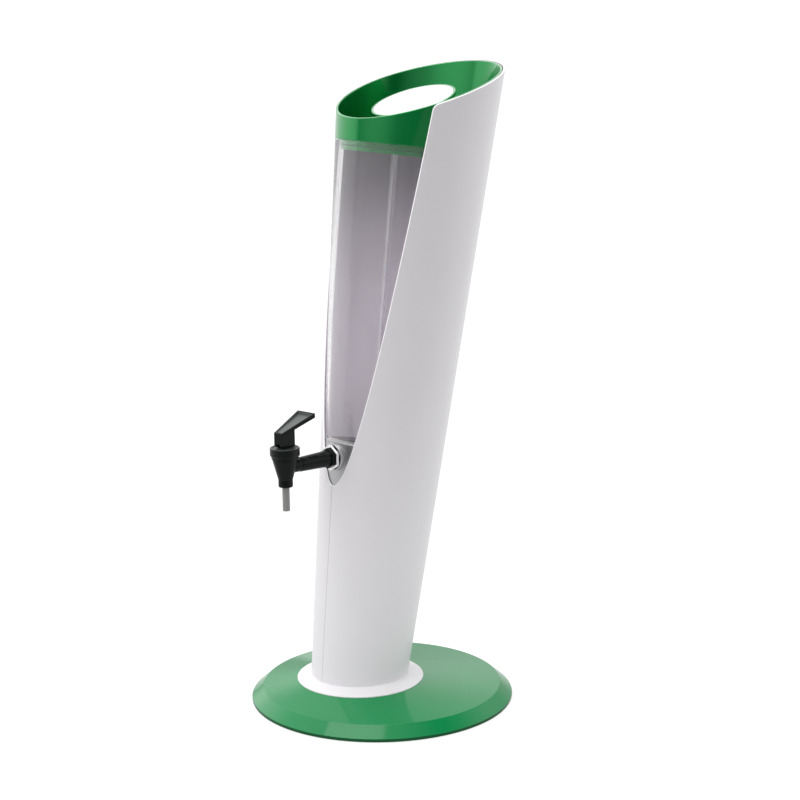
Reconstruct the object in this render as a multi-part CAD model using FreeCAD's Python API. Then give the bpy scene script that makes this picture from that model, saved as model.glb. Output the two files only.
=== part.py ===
import FreeCAD, Part
import math
import os

V = FreeCAD.Vector
os.makedirs("parts", exist_ok=True)

# ---------------------------------------------------------------------------
# Beer tower dispenser: a leaning conical tower on a weighted round base.
# Own frame: origin at the centre of the base's underside, +Z up,
# -Y towards the tap (front), mid-plane x = 0.  Millimetres, degrees.
# ---------------------------------------------------------------------------

# base
BASE_R = 130.0            # outer radius at the rim
BASE_Z0 = 0.6             # underside of the cover's rim
BASE_Z1 = 3.8             # top of the upright rim
BASE_RT = 118.1           # radius of the chamfer's upper edge
BASE_Z2 = 13.85           # height of the chamfer's upper edge
BASE_T = 3.0              # shell thickness
PAD_T = 1.2               # non-slip pad
PLATE_T = 2.0             # closing plate
BALLAST_R = 100.0
BALLAST_T = 6.0

# trim ring at the tower's foot
RING_R = 62.3
RING_Y = -27.6
RING_Z = 26.4             # where the ring lands on the cover
RING_EDGE = 1.0           # upright edge of the ring
RING_ZTOP = 32.3          # ring's height at the casing

# tower: a cone that leans back
LEAN = 8.58
Y0 = -28.6                # tower axis at the foot
ZS = 32.2
R0 = 47.63                # outer radius at the foot
TAPER = 0.0564            # radius gained per millimetre along the axis
WALL = 2.0                # casing wall
GAP = 0.35                # casing to what slides inside it

# rim surface z = RIM0 + RIM1*y + RIM2*y*y, and the open front's cut line
RIM0, RIM1, RIM2 = 583.4, 0.3149, -0.0003
CUT_Z = 227.2             # bottom of the open front
CUT_SLOPE = 4.834         # dz/dy of the cut line
CORNER_R = 8.0            # rounding where the cut meets the rim

# stations along the tower axis
S_SHELF = 178.6
S_CUP0 = 183.0
S_CUP_FLOOR = 200.0
S_LEDGE = 231.0
S_TUBE_TOP = 517.65
S_COLLAR = 518.0
S_SKIRT = 508.5
TUBE_WALL = 4.0

# tap
TAP_Z = 254.7             # height of the shank's axis
VALVE_Y = -113.4          # the valve's upright axis
BONNET_TOP = 274.3
WASHER_TOP = 274.0
PIN_Z = 279.3
LEVER_YAW = 10.0          # the lever stands turned this much at rest
CAM_H0 = 5.0              # pin to the cam's flat
CAM_F = 9.1               # pin to the block's front face
LEVER_HALF_W = 4.9
BOSS_R = 13.4             # round boss on the canister's cup, behind the nut
BOSS_Y = -56.8
BOSS_IN = -46.5

# knob on the ice tube
DISC_C = V(0.0, 51.2, 588.7)
DISC_TILT = 17.6
DISC_R = 39.6
KNOB_R = 41.8

lam = math.radians(LEAN)
A0 = V(0, Y0, ZS)
AX = V(0, math.sin(lam), math.cos(lam))
TOWER = FreeCAD.Placement(A0, FreeCAD.Rotation(V(0, 0, 1), AX))


def rad(s):
    return R0 + TAPER * s


def arc_face(pts):
    """Face in the XZ plane from (x, z[, corner radius]) points."""
    n = len(pts)
    start, end, arcs = [], [], []
    for i in range(n):
        x, z = pts[i][0], pts[i][1]
        r = pts[i][2] if len(pts[i]) > 2 else 0.0
        p1 = V(x, 0, z)
        if r <= 0:
            start.append(p1)
            end.append(p1)
            arcs.append(None)
            continue
        q0, q2 = pts[i - 1], pts[(i + 1) % n]
        d0 = V(q0[0], 0, q0[1]) - p1
        d2 = V(q2[0], 0, q2[1]) - p1
        d0.normalize()
        d2.normalize()
        ang = d0.getAngle(d2)
        t = r / math.tan(ang / 2)
        b = d0 + d2
        b.normalize()
        c = p1 + b * (r / math.sin(ang / 2))
        start.append(p1 + d0 * t)
        end.append(p1 + d2 * t)
        arcs.append(c - b * r)
    edges = []
    for i in range(n):
        if arcs[i] is not None:
            edges.append(Part.Arc(start[i], arcs[i], end[i]).toShape())
        a, b = end[i], start[(i + 1) % n]
        if (b - a).Length > 1e-6:
            edges.append(Part.LineSegment(a, b).toShape())
    return Part.Face(Part.Wire(edges))


def turned(pts, placement=None):
    """Solid of revolution about Z from (radius, height[, corner radius])."""
    s = arc_face(pts).revolve(V(0, 0, 0), V(0, 0, 1), 360)
    if s.ShapeType != "Solid":
        s = Part.Solid(s.Shells[0])
    if s.Volume < 0:
        s.reverse()
    if placement is not None:
        s.Placement = placement
    return s


def ax_turned(pts):
    """Solid turned about the tower axis; points are (offset from the
    casing's outer radius, station) or ('r', radius, station)."""
    out = []
    for p in pts:
        if p[0] == "r":
            out.append((p[1], p[2]) + tuple(p[3:]))
        else:
            out.append((rad(p[1]) + p[0], p[1]) + tuple(p[2:]))
    return turned(out, TOWER)


def cyl(r, h, p, d=V(0, 0, 1)):
    return Part.makeCylinder(r, h, p, d)


def along_y(y):
    """Placement whose local +Z runs along -Y from the given y, at the tap's
    height, so a turned profile's height is the distance forwards."""
    return FreeCAD.Placement(V(0, y, TAP_Z), FreeCAD.Rotation(V(0, 0, 1), V(0, -1, 0)))


def hexagon(circum_r, h, p, d, phase=0.0):
    """Six-sided prism with a corner along +Z when phase is 0 and d is -Y."""
    x = V(0, 0, 1)
    y = d.cross(x)
    pts = []
    for i in range(7):
        a = math.radians(60 * i + phase)
        pts.append(p + x * (circum_r * math.cos(a)) + y * (circum_r * math.sin(a)))
    f = Part.Face(Part.makePolygon(pts))
    return f.extrude(d * h)


def rim_z(y):
    return RIM0 + RIM1 * y + RIM2 * y * y


def export(name, shape):
    solids = shape.Solids
    for s in solids:
        if not s.isValid() or s.Volume <= 0:
            raise RuntimeError("bad solid in " + name)
    out = solids[0] if len(solids) == 1 else Part.makeCompound(solids)
    out.exportStep("parts/" + name + ".step")
    b = out.BoundBox
    print("%-18s %2d solid(s) vol %10.1f  x %.1f..%.1f y %.1f..%.1f z %.1f..%.1f" % (
        name, len(solids), sum(s.Volume for s in solids), b.XMin, b.XMax, b.YMin, b.YMax, b.ZMin, b.ZMax))
    return out


# ---------------------------------------------------------------------------
# Base
# ---------------------------------------------------------------------------
def circle_wire(r, y, z):
    return Part.Wire(Part.makeCircle(r, V(0, y, z), V(0, 0, 1)))


outer_low = turned([(0, BASE_Z0), (BASE_R - 1.5, BASE_Z0), (BASE_R, BASE_Z0 + 1.5), (BASE_R, BASE_Z1),
                    (BASE_RT, BASE_Z2), (0, BASE_Z2)])
outer_top = Part.makeLoft([circle_wire(BASE_RT, 0, BASE_Z2), circle_wire(RING_R, RING_Y, RING_Z)], True, True)
inner_low = turned([(0, BASE_Z0 - 1), (BASE_R - BASE_T, BASE_Z0 - 1), (BASE_R - BASE_T, BASE_Z1 - 0.6),
                    (BASE_RT - 2.3, BASE_Z2 - BASE_T), (0, BASE_Z2 - BASE_T)])
inner_top = Part.makeLoft([circle_wire(BASE_RT - 2.3, 0, BASE_Z2 - BASE_T),
                           circle_wire(RING_R - 2.0, RING_Y, RING_Z - BASE_T)], True, True)
cover = outer_low.fuse(outer_top).cut(inner_low.fuse(inner_top))

plate_z = PAD_T
boss_top = BASE_Z2
PLATE_SCREWS = [(112.0 * math.cos(math.radians(a)), 112.0 * math.sin(math.radians(a))) for a in range(30, 390, 60)]
for (x, y) in PLATE_SCREWS:
    cover = cover.fuse(cyl(4.2, boss_top - (plate_z + PLATE_T) - 0.6, V(x, y, plate_z + PLATE_T)))
for (x, y) in PLATE_SCREWS:
    cover = cover.cut(cyl(1.65, 8.0, V(x, y, plate_z + PLATE_T - 0.1)))

tower_c_y = Y0 + (28.0 - ZS) * math.tan(lam)
TOWER_SCREWS = [(39.0 * math.cos(math.radians(a)), tower_c_y + 39.0 * math.sin(math.radians(a))) for a in (45, 135, 225, 315)]
for (x, y) in TOWER_SCREWS:
    cover = cover.cut(cyl(2.3, 8.0, V(x, y, RING_Z - BASE_T - 2)))
export("base_cover", cover.removeSplitter())

plate = cyl(BASE_R - BASE_T - 0.4, PLATE_T, V(0, 0, plate_z))
for (x, y) in PLATE_SCREWS:
    plate = plate.cut(cyl(1.8, 10, V(x, y, 0)))
    plate = plate.cut(cyl(3.7, 1.3, V(x, y, plate_z - 0.1)))
export("base_plate", plate)

export("base_pad", turned([(0, 0), (BASE_R - 6.0, 0, 0.4), (BASE_R - 6.0, PAD_T), (0, PAD_T)]))

export("base_ballast", turned([(0, plate_z + PLATE_T), (BALLAST_R, plate_z + PLATE_T, 1.0),
                               (BALLAST_R, plate_z + PLATE_T + BALLAST_T, 1.5), (0, plate_z + PLATE_T + BALLAST_T)]))

screws = []
for (x, y) in PLATE_SCREWS:
    screws.append(turned([(0, 0), (3.4, 0, 0.3), (3.4, 1.1), (1.55, 1.1), (1.55, 8.2), (0, 8.6)],
                         FreeCAD.Placement(V(x, y, plate_z + 0.05), FreeCAD.Rotation())))
export("base_screws", Part.makeCompound(screws))

# ---------------------------------------------------------------------------
# Tower casing: two halves of a conical shell
# ---------------------------------------------------------------------------
Z_FOOT = RING_Z


def rim_prism(z_low):
    """Everything under the rim's surface, as a prism across the tower."""
    yb, yf = 240.0, -120.0
    p_b, p_f = V(0, yb, rim_z(yb)), V(0, yf, rim_z(yf))
    q_f, q_b = V(0, yf, z_low), V(0, yb, z_low)
    edges = [Part.Arc(p_b, V(0, 60.0, rim_z(60.0)), p_f).toShape(), Part.LineSegment(p_f, q_f).toShape(),
             Part.LineSegment(q_f, q_b).toShape(), Part.LineSegment(q_b, p_b).toShape()]
    f = Part.Face(Part.Wire(edges))
    f.translate(V(-200, 0, 0))
    return f.extrude(V(400, 0, 0))


def front_at(z, off=0.0):
    """y of the tower's front generator at a height."""
    s = (z - ZS - (R0 + off) * math.sin(lam)) / (math.cos(lam) + TAPER * math.sin(lam))
    return Y0 + s * math.sin(lam) - (rad(s) + off) * math.cos(lam)


E2 = V(0, math.cos(lam), -math.sin(lam))


def on_cone(th, s, off):
    r = rad(s) + off
    return A0 + AX * s + V(r * math.cos(th), 0, 0) + E2 * (r * math.sin(th))


def theta_s(y, z, side):
    """Angle and station of the outer surface's point over (y, z)."""
    p = V(0, y, z) - A0
    s = p.dot(AX)
    rho = p.dot(E2)
    x2 = rad(s) ** 2 - rho ** 2
    return math.atan2(rho, side * math.sqrt(max(x2, 0.0))), s


# the side view's outline: cut line, rounded corner, rim
y_n = front_at(CUT_Z)
yc = 0.0
for _ in range(60):
    yc = y_n + (rim_z(yc) - CUT_Z) / CUT_SLOPE
corner = V(0, yc, rim_z(yc))
m_c = RIM1 + 2 * RIM2 * yc
u_cut = V(0, -1.0, -CUT_SLOPE)
u_cut.normalize()
u_rim = V(0, 1.0, m_c)
u_rim.normalize()
ang_c = u_cut.getAngle(u_rim)
t_c = CORNER_R / math.tan(ang_c / 2)
b_c = u_cut + u_rim
b_c.normalize()
centre_c = corner + b_c * (CORNER_R / math.sin(ang_c / 2))
T1, T2 = corner + u_cut * t_c, corner + u_rim * t_c
T2 = V(0, T2.y, rim_z(T2.y))
lo, hi = 100.0, 200.0     # back end of the rim on the outer surface
for _ in range(60):
    mid = (lo + hi) / 2
    p = V(0, mid, rim_z(mid)) - A0
    if p.dot(E2) < rad(p.dot(AX)):
        lo = mid
    else:
        hi = mid
Y_BACK = lo


def rim_lean(y, th):
    """Station gained per millimetre outwards on the rim's surface."""
    m = RIM1 + 2 * RIM2 * y
    st = math.sin(th)
    return st * (math.sin(lam) + m * math.cos(lam)) / (
        math.cos(lam) - TAPER * st * math.sin(lam) - m * (math.sin(lam) + TAPER * st * math.cos(lam)))


def outline(kind, side, n=36):
    """Points (theta, station, lean) along one stretch of the outline."""
    out = []
    for i in range(n + 1):
        u = i / n
        if kind == "cut":          # from the bottom up, close steps at the bottom
            w = u * u
            y, z, k = y_n + (T1.y - y_n) * w, CUT_Z + (T1.z - CUT_Z) * w, 0.0
        elif kind == "corner":
            d1, d2 = T1 - centre_c, T2 - centre_c
            d = d1 * math.sin((1 - u) * d1.getAngle(d2)) + d2 * math.sin(u * d1.getAngle(d2))
            d = d * (1.0 / math.sin(d1.getAngle(d2)))
            y, z, k = centre_c.y + d.y, centre_c.z + d.z, u
        else:                      # rim, close steps at the back
            w = 1 - (1 - u) ** 2
            y = T2.y + (Y_BACK - T2.y) * w
            z, k = rim_z(y), 1.0
        th, s = theta_s(y, z, side)
        if kind == "cut" and i == 0:
            th = -math.pi / 2
        if kind == "rim" and i == n:
            th = math.pi / 2
        out.append((th, s, k * rim_lean(y, th)))
    return out


def wall_edge(samples):
    """Ruled face across the wall's thickness through an outline."""
    curves = []
    for off in (3.0, -7.0):
        c = Part.BSplineCurve()
        c.interpolate([on_cone(th, s + off * g, off) for th, s, g in samples])
        curves.append(c.toShape())
    return Part.makeRuledSurface(curves[0], curves[1])


cut_r, cut_l = outline("cut", 1), outline("cut", -1)
rim_r, rim_l = outline("rim", 1), outline("rim", -1)
edge_faces = [wall_edge(cut_l[::-1] + cut_r[1:]), wall_edge(outline("corner", 1, 10)), wall_edge(outline("corner", -1, 10)),
              wall_edge(rim_r + rim_l[::-1][1:])]
shell = ax_turned([(0, -20), (0, 680), (-WALL, 680), (-WALL, S_SHELF), (-WALL - 3.4, S_SHELF),
                   (-WALL - 3.4, S_SHELF - 2.5), (-WALL, S_SHELF - 6.0), (-WALL, -20)])
pieces = shell.generalFuse(edge_faces)[0].Solids
print("casing pieces", [round(q.CenterOfMass.z, 1) for q in pieces])
shell = sorted(pieces, key=lambda q: q.CenterOfMass.z)[0]
shell = shell.common(Part.makeBox(400, 500, 700, V(-200, -250, Z_FOOT)))
inner_fill = ax_turned([("r", 0, -20), (-WALL + 0.5, -20), (-WALL + 0.5, 40), ("r", 0, 40)])
flange = cyl(80, 3.2, V(0, tower_c_y, Z_FOOT)).cut(cyl(33, 10, V(0, tower_c_y, Z_FOOT - 1))).common(inner_fill)
casing = shell.fuse(flange)
for (x, y) in TOWER_SCREWS:
    casing = casing.fuse(cyl(5.0, 13.0, V(x, y, Z_FOOT)))
for (x, y) in TOWER_SCREWS:
    casing = casing.cut(cyl(2.0, 12.0, V(x, y, Z_FOOT - 0.5)))
half_r = Part.makeBox(200, 600, 900, V(0, -300, -50))
casing_right = casing.common(half_r)
casing_left = casing_right.mirror(V(0, 0, 0), V(1, 0, 0))
export("casing_right", casing_right)
export("casing_left", casing_left)

tscrews = []
for (x, y) in TOWER_SCREWS:
    tscrews.append(turned([(0, 0), (4.2, 0, 0.4), (4.2, 2.3), (1.95, 2.3), (1.95, 15.5), (0, 16.2)],
                          FreeCAD.Placement(V(x, y, RING_Z - BASE_T - 2.35), FreeCAD.Rotation())))
export("tower_screws", Part.makeCompound(tscrews))

ring = turned([(38, RING_Z), (RING_R, RING_Z), (RING_R, RING_Z + RING_EDGE, 0.4), (50.2, RING_ZTOP, 0.8), (38, RING_ZTOP)],
              FreeCAD.Placement(V(0, RING_Y, 0), FreeCAD.Rotation()))
ring = ring.cut(ax_turned([("r", 0, -20), (0.05, -20), (0.05, 40), ("r", 0, 40)]))
export("foot_ring", ring)

export("canister_shelf", ax_turned([("r", 12, S_SHELF), (-WALL - 0.3, S_SHELF), (-WALL - 0.3, S_SHELF + 2.2), ("r", 12, S_SHELF + 2.2)]))
export("shelf_cushion", ax_turned([("r", 12, S_SHELF + 2.2), (-WALL - 0.6, S_SHELF + 2.2), (-WALL - 0.6, S_CUP0 - 0.3), ("r", 12, S_CUP0 - 0.3)]))

# ---------------------------------------------------------------------------
# Canister: clear tube, bright bottom cup, tap
# ---------------------------------------------------------------------------
OFF_OUT = -WALL - GAP                 # collar and cup outside
OFF_TUBE = OFF_OUT - 0.25             # tube outside, a hair under the cup
OFF_TIN = OFF_TUBE - TUBE_WALL        # tube inside

export("canister_tube", ax_turned([(OFF_TIN, S_LEDGE + 0.5), (OFF_TUBE, S_LEDGE + 0.5, 0.3), (OFF_TUBE, S_TUBE_TOP, 0.8),
                                   (OFF_TIN, S_TUBE_TOP, 0.8)]))
export("tube_gasket", ax_turned([(OFF_TIN, S_LEDGE), (OFF_TUBE, S_LEDGE), (OFF_TUBE, S_LEDGE + 0.5), (OFF_TIN, S_LEDGE + 0.5)]))

CUP_IN = OFF_OUT - 2.6
cup = ax_turned([("r", 0, S_CUP_FLOOR), (CUP_IN, S_CUP_FLOOR), (CUP_IN, S_CUP0), (OFF_OUT, S_CUP0, 0.6), (OFF_OUT, S_LEDGE, 0.5),
                 (OFF_TIN - 0.1, S_LEDGE), (OFF_TIN - 0.1, S_LEDGE + 2.6, 0.4), (OFF_TIN - 1.7, S_LEDGE + 2.6, 0.4),
                 (OFF_TIN - 1.7, S_LEDGE - 1.2), (CUP_IN, S_LEDGE - 2.4), (CUP_IN, S_CUP_FLOOR + 3.0, 3.0), ("r", 0, S_CUP_FLOOR + 3.0)])
boss = cyl(BOSS_R, BOSS_IN - BOSS_Y, V(0, BOSS_Y, TAP_Z), V(0, 1, 0))
SHANK_R = 8.2
cup = cup.fuse(boss).cut(cyl(SHANK_R + 0.1, 40, V(0, -70, TAP_Z), V(0, 1, 0)))
export("canister_cup", cup)

NUT_Y = BOSS_Y - 0.8
export("tap_outer_gasket", cyl(11.8, 0.8, V(0, NUT_Y, TAP_Z), V(0, 1, 0)).cut(cyl(SHANK_R + 0.1, 4, V(0, NUT_Y - 1, TAP_Z), V(0, 1, 0))))

nut = hexagon(12.9, 3.0, V(0, NUT_Y, TAP_Z), V(0, -1, 0))
nut = nut.common(turned([(0, 0), (12.2, 0), (12.9, 0.5), (12.9, 2.4), (11.9, 3.0), (0, 3.0)], along_y(NUT_Y)))
nut = nut.cut(cyl(SHANK_R + 0.1, 10, V(0, NUT_Y - 5, TAP_Z), V(0, 1, 0)))
export("chrome_nut", nut)

FL_Y = NUT_Y - 3.0        # face of the tap's own shoulder
# valve body: cone, barrel and neck about the upright axis
VP = FreeCAD.Placement(V(0, VALVE_Y, 0), FreeCAD.Rotation())
valve = turned([(0, 236.0), (6.95, 236.0, 1.0), (6.95, 243.2, 1.5), (12.2, 262.6), (12.2, 263.3), (11.3, 263.3), (11.3, 268.4), (0, 268.4)], VP)
shank = turned([(0, 0), (SHANK_R, 0, 0.8), (SHANK_R, FL_Y * -1 - 36.0), (7.9, FL_Y * -1 - 36.0), (7.9, 29.5), (6.95, 61.0, 0.5),
                (6.55, 61.0), (6.55, 77.4), (0, 77.4)], along_y(-36.0))
shoulder = hexagon(10.4, 3.2, V(0, FL_Y, TAP_Z), V(0, -1, 0))
shoulder = shoulder.common(turned([(0, 0), (10.4, 0), (10.4, 2.5), (9.6, 3.2), (0, 3.2)], along_y(FL_Y)))
tap = valve.fuse(shank).fuse(shoulder)
chamber = turned([(0, 247.0), (6.2, 247.0, 0.6), (9.9, 262.0), (9.9, 270.0), (0, 270.0)], VP)
tap = tap.cut(chamber)
tap = tap.cut(cyl(3.55, 14.0, V(0, VALVE_Y, 234.5)))
tap = tap.cut(cyl(4.4, 90.0, V(0, VALVE_Y, TAP_Z), V(0, 1, 0)))
export("tap_body", tap)

export("tap_inner_gasket", cyl(11.6, 1.4, V(0, BOSS_IN, TAP_Z), V(0, 1, 0)).cut(cyl(SHANK_R + 0.1, 4, V(0, BOSS_IN - 1, TAP_Z), V(0, 1, 0))))
bnut = hexagon(12.0, 5.5, V(0, BOSS_IN + 6.9, TAP_Z), V(0, -1, 0))
bnut = bnut.cut(cyl(SHANK_R + 0.1, 10, V(0, BOSS_IN, TAP_Z), V(0, 1, 0)))
export("tap_back_nut", bnut)

bonnet = turned([(2.58, 268.5), (11.4, 268.5), (11.4, 263.5), (12.9, 263.5, 0.4), (12.9, 266.1), (14.2, 266.7, 0.5), (14.2, BONNET_TOP, 0.9),
                 (11.5, BONNET_TOP, 0.5), (11.4, 273.3), (2.58, 273.3)], VP)
export("tap_bonnet", bonnet)

export("outlet_tube", turned([(2.3, 212.6, 0.2), (3.5, 212.6, 0.3), (3.5, 246.8), (2.3, 246.8)], VP))

# moving pieces of the tap
export("cam_washer", turned([(2.9, 273.4), (11.15, 273.4), (11.15, WASHER_TOP, 0.2), (2.9, WASHER_TOP)], VP))

stem = turned([(0, 247.7), (1.5, 247.7), (2.0, 248.6), (2.0, 250.45), (4.9, 250.45, 0.2), (4.9, 251.3, 0.2), (2.5, 251.3), (2.5, 281.7, 2.0), (0, 281.7)], VP)


def yawed(shape):
    s = shape.copy()
    s.rotate(V(0, VALVE_Y, 0), V(0, 0, 1), LEVER_YAW)
    return s


flats = Part.makeBox(10, 20, 20, V(1.7, VALVE_Y - 10, 269.6)).fuse(Part.makeBox(10, 20, 20, V(-11.7, VALVE_Y - 10, 269.6)))
stem = stem.cut(yawed(flats))
stem = stem.cut(yawed(cyl(1.30, 20, V(-10, VALVE_Y, PIN_Z), V(1, 0, 0))))
export("valve_stem", stem)

export("seat_cup", turned([(2.05, 247.15), (4.6, 247.15, 0.3), (5.4, 248.2, 0.3), (4.9, 250.4, 0.3), (2.05, 250.4)], VP))

# spring: open coil between the stem's collar and the bonnet
SPR_Z0, SPR_Z1, WIRE = 251.35, 268.45, 0.8
turns = 6.0
h = SPR_Z1 - SPR_Z0 - WIRE - 0.04
helix = Part.makeHelix(h / turns, h, 3.9)
prof = Part.Wire(Part.makeCircle(WIRE / 2, V(3.9, 0, 0), V(0, 1, 0)))
coil = Part.Wire(helix).makePipeShell([prof], True, True)
if coil.ShapeType != "Solid":
    coil = Part.Solid(coil)
if coil.Volume < 0:
    coil.reverse()
coil.translate(V(0, VALVE_Y, SPR_Z0 + WIRE / 2 + 0.02))
print("spring volume", coil.Volume, "expected", math.pi * (WIRE / 2) ** 2 * turns * math.hypot(2 * math.pi * 3.9, h / turns))
export("valve_spring", coil)

# lever: cam block and tray-like paddle.  F is forwards of the pin, U is up.
CAM_K = 4.0                                  # lift per radian


def cam_point(a):
    p = CAM_H0 + CAM_K * a
    return p * math.sin(a) + CAM_K * math.cos(a), -p * math.cos(a) + CAM_K * math.sin(a)


lo, hi = 0.5, 1.2                            # angle at which the curve meets the front face
for i in range(60):
    mid = (lo + hi) / 2
    if cam_point(mid)[0] < CAM_F:
        lo = mid
    else:
        hi = mid
pts = []
for i in range(0, 13):
    f, u = cam_point(lo * i / 12)
    pts.append(V(0, VALVE_Y - f, PIN_Z + u))
cam = Part.BSplineCurve()
cam.interpolate(pts)
PL_F, PL_B = CAM_F, -31.3            # paddle's front and back ends
PL_ZF, PL_ZB = 289.2, 302.8          # its top face there
HW_F, HW_B = LEVER_HALF_W, 11.1
TH_F, TH_B = 3.0, 4.3
REAR = -9.2


def top_z(f):
    return PL_ZF + (PL_ZB - PL_ZF) * (PL_F - f) / (PL_F - PL_B)


yb = VALVE_Y - REAR
poly = [pts[-1], V(0, VALVE_Y - CAM_F, PL_ZF - 0.6), V(0, yb, top_z(REAR) - 1.6),
        V(0, yb, PIN_Z - CAM_H0 + 0.8), V(0, yb - 0.8, PIN_Z - CAM_H0), pts[0]]
edges = [cam.toShape()] + [Part.LineSegment(poly[i], poly[i + 1]).toShape() for i in range(5)]
block = Part.Face(Part.Wire(edges))
block.translate(V(-LEVER_HALF_W, 0, 0))
block = block.extrude(V(2 * LEVER_HALF_W, 0, 0))


def quad(f, hw, z0, z1):
    y = VALVE_Y - f
    return Part.makePolygon([V(-hw, y, z0), V(hw, y, z0), V(hw, y, z1), V(-hw, y, z1), V(-hw, y, z0)])


paddle = Part.makeLoft([quad(PL_F, HW_F, PL_ZF - TH_F, PL_ZF), quad(PL_B, HW_B, PL_ZB - TH_B, PL_ZB)], True, True)
BRD, DEEP_F, DEEP_B = 1.5, 0.9, 2.6


def hw_at(f):
    return HW_F + (HW_B - HW_F) * (PL_F - f) / (PL_F - PL_B)


f1, f2 = PL_F - 2.0, PL_B + 2.2
tray = Part.makeLoft([quad(f1, hw_at(f1) - BRD, top_z(f1) - DEEP_F, top_z(f1) + 3),
                      quad(f2, hw_at(f2) - BRD, top_z(f2) - DEEP_B, top_z(f2) + 3)], True, True)
lever = block.fuse(paddle).cut(tray)
# slot for the stem's tongue: open downwards and up to 60 degrees forwards
slot_pts = [V(0, VALVE_Y + 3.1, PIN_Z + 3.2), V(0, VALVE_Y + 3.1, PIN_Z - 8), V(0, VALVE_Y - 14, PIN_Z - 8)]
a = math.radians(66.0)
d = V(0, -math.sin(a), -math.cos(a))          # tongue's direction when fully turned
nrm = V(0, -math.cos(a), math.sin(a))
q1 = V(0, VALVE_Y, PIN_Z) + nrm * 3.1 + d * 18
q0 = V(0, VALVE_Y, PIN_Z) + nrm * 3.1
slot_pts += [q1, q0, V(0, VALVE_Y - 1.2, PIN_Z + 3.2)]
w = Part.Face(Part.makePolygon(slot_pts + [slot_pts[0]]))
w.translate(V(-2.0, 0, 0))
lever = lever.cut(w.extrude(V(4.0, 0, 0)))
lever = lever.cut(cyl(1.25, 40, V(-20, VALVE_Y, PIN_Z), V(1, 0, 0)))
export("tap_lever", yawed(lever))
export("lever_pin", yawed(cyl(1.25, 2 * LEVER_HALF_W - 0.6, V(-LEVER_HALF_W + 0.3, VALVE_Y, PIN_Z), V(1, 0, 0))))

# ---------------------------------------------------------------------------
# Lid: slanted collar with floor and skirt
# ---------------------------------------------------------------------------
C_IN = OFF_OUT - 2.4
SK_OUT = OFF_TIN - 0.35
collar = ax_turned([(SK_OUT, S_SKIRT, 0.5), (SK_OUT, S_COLLAR), (OFF_OUT, S_COLLAR, 0.4), (OFF_OUT, 680), (C_IN, 680), (C_IN, 522.0, 3.0),
                    ("r", 20.6, 522.0, 0.4), ("r", 20.6, 519.5), (SK_OUT - 2.0, 519.5), (SK_OUT - 2.0, S_SKIRT, 0.5)])
collar = collar.common(rim_prism(400.0))
s_seal = 513.0
collar = collar.cut(ax_turned([(SK_OUT - 0.9, s_seal - 1.0), (SK_OUT + 2, s_seal - 1.0), (SK_OUT + 2, s_seal + 1.0), (SK_OUT - 0.9, s_seal + 1.0)]))
export("lid_collar", collar)
seal = ax_turned([(SK_OUT - 0.85, s_seal - 0.95), (OFF_TIN - 0.07, s_seal - 0.5, 0.2), (OFF_TIN - 0.07, s_seal + 0.5, 0.2), (SK_OUT - 0.85, s_seal + 0.95)])
export("lid_seal", seal)

# ---------------------------------------------------------------------------
# Ice tube with its knob
# ---------------------------------------------------------------------------
IT_TOP, IT_BOT = 524.4, 262.0
IT_R1, IT_R2, IT_T = 19.6, 12.4, 3.8
ice = turned([(0, IT_BOT), (IT_R2, IT_BOT, 7.0), (IT_R1, 520.0), (IT_R1, 522.4), (24.0, 522.4, 0.4), (24.0, IT_TOP, 0.4), (IT_R1 - IT_T, IT_TOP),
              (IT_R1 - IT_T, 520.0), (IT_R2 - IT_T, IT_BOT + IT_T, 5.2), (0, IT_BOT + IT_T)], TOWER)
export("ice_tube", ice)

nt = V(0, -math.sin(math.radians(DISC_TILT)), math.cos(math.radians(DISC_TILT)))
KN = FreeCAD.Placement(DISC_C, FreeCAD.Rotation(V(0, 0, 1), nt))
head = turned([(0, -5.6), (KNOB_R - 2.2, -5.6, 1.2), (KNOB_R, -3.4, 1.2), (KNOB_R, 0, 0.7), (DISC_R + 0.1, 0), (DISC_R + 0.1, -1.6), (0, -1.6)], KN)
stalk = turned([(0, 512.5), (14.9, 512.5, 0.4), (15.4, IT_TOP + 0.05), (25.5, IT_TOP + 0.05, 0.6), (23.0, 540.0), (26.0, 566.0), (0, 566.0)], TOWER)
below = Part.makeBox(200, 200, 200, V(-100, -100, -202.0))
below.Placement = FreeCAD.Placement(DISC_C, FreeCAD.Rotation(V(0, 0, 1), nt)).multiply(below.Placement)
stalk = stalk.common(below)
knob = head.fuse(stalk)
groove = turned([(14.1, 517.0), (20, 517.0), (20, 519.0), (14.1, 519.0)], TOWER)
knob = knob.cut(groove)
export("ice_cap", knob)
export("ice_tube_seal", turned([(14.1, 517.05), (15.55, 517.4, 0.2), (15.6, 518.6, 0.2), (14.1, 518.95)], TOWER))
export("cap_disc", turned([(0, -1.6), (DISC_R, -1.6), (DISC_R, 0.0, 0.4), (0, 0.0)], KN))
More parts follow.
